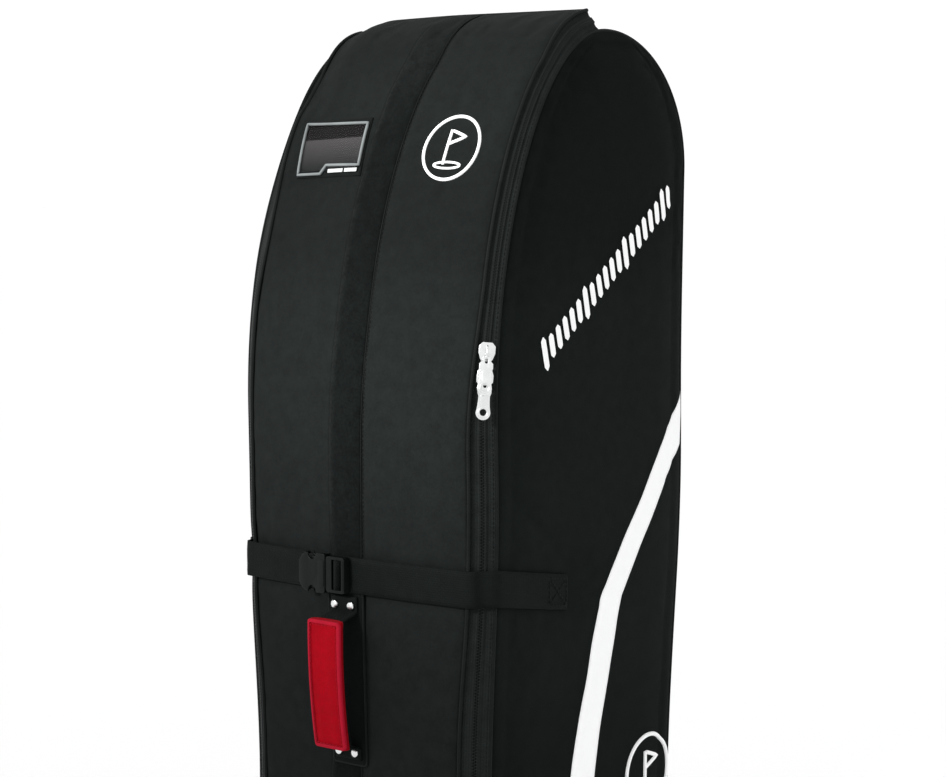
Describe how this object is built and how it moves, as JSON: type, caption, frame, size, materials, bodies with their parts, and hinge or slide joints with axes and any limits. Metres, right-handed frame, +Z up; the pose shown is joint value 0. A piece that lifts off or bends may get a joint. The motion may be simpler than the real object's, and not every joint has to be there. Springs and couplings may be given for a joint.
{
  "type": "golf travel cover",
  "caption": "Upright soft-sided golf bag travel cover on two wheels, with an arched top, a zipped front flap, a buckled compression strap and a padded grab handle.",
  "frame": {"origin": "centre of the base, on the surface that the case stands on", "axes": "+Z up, -Y towards the zipped front, +X towards the right side panel"},
  "size_m": [0.364, 0.3992, 1.2607],
  "materials": {
    "front_fabric": "coated polyester weave, matt",
    "band_fabric": "ribbed polyester tape, matt",
    "side_fabric": "coated polyester weave, matt",
    "piping": "woven cover over cord",
    "webbing": "woven polypropylene webbing",
    "zip_tape": "herringbone zip tape",
    "zip_chain": "moulded coil",
    "bright_metal": "polished zinc casting",
    "buckle_plastic": "acetal moulding",
    "red_grip": "padded woven wrap",
    "base_plastic": "grained polyethylene moulding",
    "inner_board": "extruded board",
    "window_patch": "coated fabric",
    "clear_window": "clear vinyl",
    "tyre_rubber": "urethane tyre, satin",
    "skid_rubber": "moulded rubber, matt",
    "hub_plastic": "nylon moulding",
    "axle_steel": "plated steel"
  },
  "bodies": {
    "shell": {"back_board": "inner_board", "back_panel": "side_fabric", "base_board": "inner_board", "base_tray": "base_plastic", "buckle_socket": "buckle_plastic", "front_skid": "skid_rubber", "handle_base": "webbing", "handle_grip": "red_grip", "handle_web": "webbing", "lower_front_band": "band_fabric", "lower_front_left": "front_fabric", "lower_front_right": "front_fabric", "lower_piping_left": "piping", "lower_piping_right": "piping", "lower_zip_tape_left": "zip_tape", "lower_zip_tape_right": "zip_tape", "rear_skid": "skid_rubber", "rivet_bottom_left": "bright_metal", "rivet_bottom_right": "bright_metal", "rivet_top_left": "bright_metal", "rivet_top_right": "bright_metal", "side_panel_left": "side_fabric", "side_panel_right": "side_fabric", "side_piping_left": "piping", "side_piping_right": "piping", "side_zip_chain_left": "zip_chain", "side_zip_chain_right": "zip_chain", "side_zip_tape_left": "zip_tape", "side_zip_tape_right": "zip_tape", "strap_left": "webbing", "strap_right": "webbing", "tie_buckle": "buckle_plastic", "tie_strap": "webbing", "wheel_axle_left": "axle_steel", "wheel_axle_right": "axle_steel", "wheel_housing_left": "base_plastic", "wheel_housing_right": "base_plastic"},
    "flap": {"flap_left": "front_fabric", "flap_band": "band_fabric", "flap_right": "front_fabric", "flap_end_wall": "band_fabric", "flap_zip_tape_left": "zip_tape", "flap_zip_tape_right": "zip_tape", "flap_zip_chain_left": "zip_chain", "flap_zip_chain_right": "zip_chain", "flap_piping_left": "piping", "flap_piping_right": "piping", "window_patch": "window_patch", "window_cover": "clear_window"},
    "slider_upper": {"zip_slider_upper": "bright_metal"},
    "pull_upper": {"zip_pull_upper": "bright_metal"},
    "slider_lower": {"zip_slider_lower": "bright_metal"},
    "pull_lower": {"zip_pull_lower": "bright_metal"},
    "buckle_plug": {"buckle_plug": "buckle_plastic"},
    "prong_upper": {"buckle_prong_upper": "buckle_plastic"},
    "prong_lower": {"buckle_prong_lower": "buckle_plastic"},
    "wheel_left": {"wheel_tyre_left": "tyre_rubber", "wheel_hub_left": "hub_plastic"},
    "wheel_right": {"wheel_tyre_right": "tyre_rubber", "wheel_hub_right": "hub_plastic"}
  },
  "joints": [
    {"name": "flap_fold", "type": "hinge", "parent": "shell", "child": "flap", "pos_m": [0, -0.1572, 0.715], "axis": [1, 0, 0], "range_deg": [0, 105]},
    {"name": "zip_upper_slide", "type": "slide", "parent": "flap", "child": "slider_upper", "axis": [0.0236, 0.1233, 0.9921], "range_m": [0, 0.05]},
    {"name": "pull_upper_swing", "type": "hinge", "parent": "slider_upper", "child": "pull_upper", "pos_m": [0.17643, -0.1399, 0.90415], "axis": [-0.7132, -0.6933, 0.1031], "range_deg": [0, 140]},
    {"name": "zip_lower_slide", "type": "slide", "parent": "flap", "child": "slider_lower", "axis": [-0.0184, -0.0698, -0.9974], "range_m": [0, 0.05]},
    {"name": "pull_lower_swing", "type": "hinge", "parent": "slider_lower", "child": "pull_lower", "pos_m": [0.17594, -0.14238, 0.87973], "axis": [-0.7047, -0.7042, 0.0868], "range_deg": [0, 140]},
    {"name": "buckle_slide", "type": "slide", "parent": "shell", "child": "buckle_plug", "axis": [1, 0, 0], "range_m": [0, 0.045]},
    {"name": "prong_upper_press", "type": "hinge", "parent": "buckle_plug", "child": "prong_upper", "pos_m": [-0.0196, -0.1628, 0.6772], "axis": [0, -1, 0], "range_deg": [0, 7], "stiffness_Nm_per_rad": 0.3},
    {"name": "prong_lower_press", "type": "hinge", "parent": "buckle_plug", "child": "prong_lower", "pos_m": [-0.0196, -0.1628, 0.6548], "axis": [0, 1, 0], "range_deg": [0, 7], "stiffness_Nm_per_rad": 0.3},
    {"name": "wheel_left_spin", "type": "hinge", "parent": "shell", "child": "wheel_left", "pos_m": [-0.118, 0.1595, 0.0368], "axis": [1, 0, 0], "continuous": true},
    {"name": "wheel_right_spin", "type": "hinge", "parent": "shell", "child": "wheel_right", "pos_m": [0.118, 0.1595, 0.0368], "axis": [1, 0, 0], "continuous": true}
  ],
  "couplings": [
    {"joint": "pull_upper_swing", "follows": "pull_lower_swing", "ratio": 1},
    {"joint": "prong_lower_press", "follows": "prong_upper_press", "ratio": 1}
  ]
}
